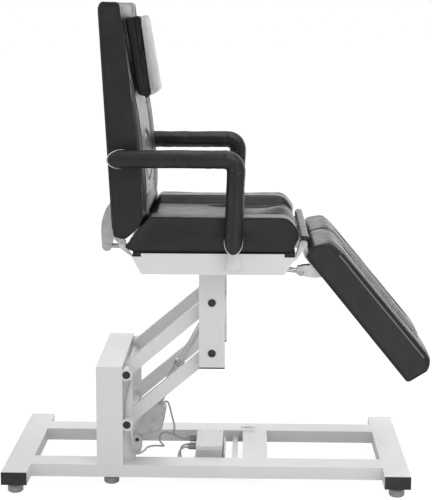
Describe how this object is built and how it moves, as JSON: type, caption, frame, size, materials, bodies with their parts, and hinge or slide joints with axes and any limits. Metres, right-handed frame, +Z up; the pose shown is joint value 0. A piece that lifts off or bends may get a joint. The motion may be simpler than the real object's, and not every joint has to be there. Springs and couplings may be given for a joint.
{
  "type": "podiatry chair",
  "caption": "Treatment chair with a reclining back, split leg rests, padded armrests and a parallelogram lift on a tube base.",
  "frame": {"origin": "on the floor, under the middle of the chair's length and width with the chair as pictured", "axes": "+X towards the leg rests, +Y towards the sitter's left, +Z up"},
  "size_m": [1.3132, 0.67, 1.5017],
  "materials": {
    "paint": "satin",
    "leather": "satin",
    "board": "matte",
    "black_plastic": "matte",
    "grey_plastic": "matte",
    "light_plastic": "matte",
    "cable": "matte",
    "rod": "polished",
    "steel": "satin"
  },
  "bodies": {
    "base": {"base_rails": "paint", "end_crossmembers": "paint", "inner_crossmembers": "paint", "crossmember_end_caps": "black_plastic", "levelling_feet": "grey_plastic", "tower_posts": "paint", "tower_top_member": "paint", "pivot_plates": "paint", "drive_foot_bracket": "paint", "tower_pivot_shafts": "steel", "tower_pivot_caps": "black_plastic", "control_box_case": "grey_plastic", "control_box_lid": "light_plastic", "control_box_tray": "paint", "control_box_plugs": "black_plastic", "motor_lead": "cable", "seat_leads": "cable"},
    "upper_arms": {"upper_arm_bars": "paint", "upper_hub_tubes": "paint"},
    "lower_arms": {"lower_arm_bars": "paint", "lower_hub_tubes": "paint"},
    "carriage": {"seat_columns": "paint", "column_caps": "black_plastic", "column_crossbar": "paint", "column_pivot_shafts": "steel", "seat_pan": "paint", "pan_brackets": "paint", "seat_board": "board", "seat_cushion": "leather", "knee_flap": "leather"},
    "lift_drive": {"lift_drive_housing": "grey_plastic", "lift_drive_tube": "steel"},
    "lift_rod": {"lift_drive_rod": "rod"},
    "backrest": {"back_board": "board", "back_cushion": "leather", "back_hinge_straps": "steel", "back_lever": "steel", "armrest_studs": "steel"},
    "pillow": {"head_pillow": "leather"},
    "back_drive": {"back_drive_body": "steel"},
    "back_rod": {"back_drive_rod": "rod"},
    "left_leg": {"left_leg_board": "board", "left_leg_cushion": "leather", "left_leg_lever": "steel"},
    "left_leg_drive": {"left_leg_drive_body": "steel"},
    "left_leg_rod": {"left_leg_drive_rod": "rod"},
    "left_arm": {"left_arm_roll": "leather", "left_arm_bar": "steel"},
    "left_post": {"left_post_roll": "leather", "left_post_bar": "steel"},
    "right_leg": {"right_leg_board": "board", "right_leg_cushion": "leather", "right_leg_lever": "steel"},
    "right_leg_drive": {"right_leg_drive_body": "steel"},
    "right_leg_rod": {"right_leg_drive_rod": "rod"},
    "right_arm": {"right_arm_roll": "leather", "right_arm_bar": "steel"},
    "right_post": {"right_post_roll": "leather", "right_post_bar": "steel"}
  },
  "joints": [
    {"name": "lift", "type": "hinge", "parent": "base", "child": "upper_arms", "pos_m": [-0.27212, 0, 0.361], "axis": [0, -1, 0], "range_deg": [-51, 0]},
    {"name": "lower_arm_hinge", "type": "hinge", "parent": "base", "child": "lower_arms", "pos_m": [-0.27212, 0, 0.2], "axis": [0, -1, 0], "range_deg": [-52, 1]},
    {"name": "carriage_level", "type": "hinge", "parent": "upper_arms", "child": "carriage", "pos_m": [-0.00733, 0, 0.58604], "axis": [0, -1, 0], "range_deg": [-1, 52]},
    {"name": "lift_drive_swing", "type": "hinge", "parent": "base", "child": "lift_drive", "pos_m": [-0.25662, 0, 0.088], "axis": [0, -1, 0], "range_deg": [-36.78, 1], "deforming": ["motor_lead"]},
    {"name": "lift_drive_stroke", "type": "slide", "parent": "lift_drive", "child": "lift_rod", "axis": [0.4777, 0, 0.8785], "range_m": [-0.155, 0.004]},
    {"name": "recline", "type": "hinge", "parent": "carriage", "child": "backrest", "pos_m": [-0.27753, 0, 0.78454], "axis": [0, -1, 0], "range_deg": [0, 80]},
    {"name": "pillow_off", "type": "slide", "parent": "backrest", "child": "pillow", "axis": [0.9888, 0, 0.1495], "range_m": [0, 0.12]},
    {"name": "back_drive_swing", "type": "hinge", "parent": "carriage", "child": "back_drive", "pos_m": [0.14347, 0, 0.72454], "axis": [0, -1, 0], "range_deg": [-1, 4.71]},
    {"name": "back_drive_stroke", "type": "slide", "parent": "back_drive", "child": "back_rod", "axis": [-0.9999, 0, 0.013], "range_m": [-0.1154, 0.004]},
    {"name": "left_leg_lift", "type": "hinge", "parent": "carriage", "child": "left_leg", "pos_m": [0.26947, 0.24, 0.78354], "axis": [0, -1, 0], "range_deg": [0, 51.4]},
    {"name": "left_leg_drive_swing", "type": "hinge", "parent": "carriage", "child": "left_leg_drive", "pos_m": [-0.01653, 0.237, 0.72754], "axis": [0, -1, 0], "range_deg": [-1, 6.16]},
    {"name": "left_leg_drive_stroke", "type": "slide", "parent": "left_leg_drive", "child": "left_leg_rod", "axis": [0.9947, 0, -0.1031], "range_m": [-0.004, 0.0724]},
    {"name": "left_arm_level", "type": "hinge", "parent": "backrest", "child": "left_arm", "pos_m": [-0.26853, 0.289, 1.04454], "axis": [0, -1, 0], "range_deg": [-81, 1]},
    {"name": "left_post_swing", "type": "hinge", "parent": "carriage", "child": "left_post", "pos_m": [0.05947, 0.294, 0.78454], "axis": [0, -1, 0], "range_deg": [-1, 81]},
    {"name": "right_leg_lift", "type": "hinge", "parent": "carriage", "child": "right_leg", "pos_m": [0.26947, -0.24, 0.78354], "axis": [0, -1, 0], "range_deg": [0, 51.4]},
    {"name": "right_leg_drive_swing", "type": "hinge", "parent": "carriage", "child": "right_leg_drive", "pos_m": [-0.01653, -0.237, 0.72754], "axis": [0, -1, 0], "range_deg": [-1, 6.16]},
    {"name": "right_leg_drive_stroke", "type": "slide", "parent": "right_leg_drive", "child": "right_leg_rod", "axis": [0.9947, 0, -0.1031], "range_m": [-0.004, 0.0724]},
    {"name": "right_arm_level", "type": "hinge", "parent": "backrest", "child": "right_arm", "pos_m": [-0.26853, -0.289, 1.04454], "axis": [0, -1, 0], "range_deg": [-81, 1]},
    {"name": "right_post_swing", "type": "hinge", "parent": "carriage", "child": "right_post", "pos_m": [0.05947, -0.294, 0.78454], "axis": [0, -1, 0], "range_deg": [-1, 81]}
  ],
  "couplings": [
    {"joint": "lower_arm_hinge", "follows": "lift", "ratio": 1},
    {"joint": "carriage_level", "follows": "lift", "ratio": -1},
    {"joint": "lift_drive_swing", "follows": "lift", "ratio": 0.70166},
    {"joint": "lift_drive_stroke", "follows": "lift", "m_per_rad": 0.16969},
    {"joint": "back_drive_swing", "follows": "recline", "ratio": 0.046381},
    {"joint": "back_drive_stroke", "follows": "recline", "m_per_rad": -0.079785},
    {"joint": "left_leg_drive_swing", "follows": "left_leg_lift", "ratio": 0.10045},
    {"joint": "left_leg_drive_stroke", "follows": "left_leg_lift", "m_per_rad": 0.076268},
    {"joint": "left_arm_level", "follows": "recline", "ratio": -1},
    {"joint": "left_post_swing", "follows": "recline", "ratio": 1},
    {"joint": "right_leg_drive_swing", "follows": "right_leg_lift", "ratio": 0.10045},
    {"joint": "right_leg_drive_stroke", "follows": "right_leg_lift", "m_per_rad": 0.076268},
    {"joint": "right_arm_level", "follows": "recline", "ratio": -1},
    {"joint": "right_post_swing", "follows": "recline", "ratio": 1}
  ]
}
